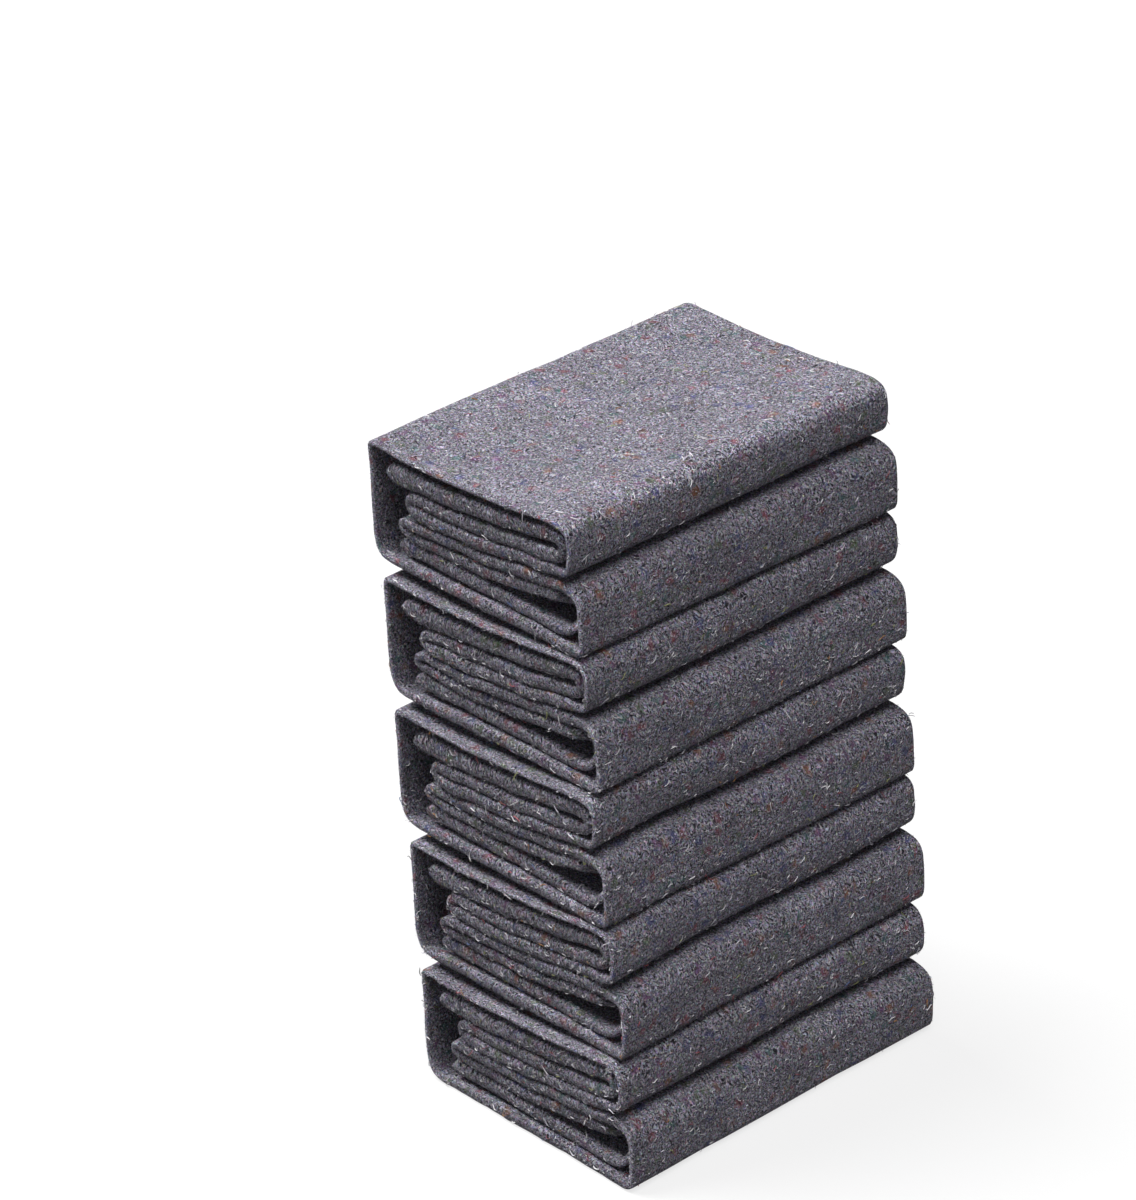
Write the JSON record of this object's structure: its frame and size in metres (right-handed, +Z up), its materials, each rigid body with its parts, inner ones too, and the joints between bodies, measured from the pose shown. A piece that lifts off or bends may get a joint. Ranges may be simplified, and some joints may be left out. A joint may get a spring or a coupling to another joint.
{
  "type": "stack of moving blankets",
  "caption": "Stack of folded felt moving blankets, each a strip folded back and forth inside its own outer wrap, used to pad furniture and cover floors in transit.",
  "frame": {"origin": "on the floor, under the middle of the stack's bounding box", "axes": "+Z up; -Y is the front, where the folded edges show; the rounded folds are on +X and each blanket's closed spine on -X"},
  "size_m": [0.3034, 0.3558, 0.5674],
  "materials": {
    "felt": "matte grey needled felt of recycled fibres, with pale and coloured flecks"
  },
  "bodies": {
    "root": {"blanket_1": "felt", "blanket_2": "felt", "blanket_3": "felt", "blanket_4": "felt", "blanket_5": "felt"}
  },
  "joints": []
}
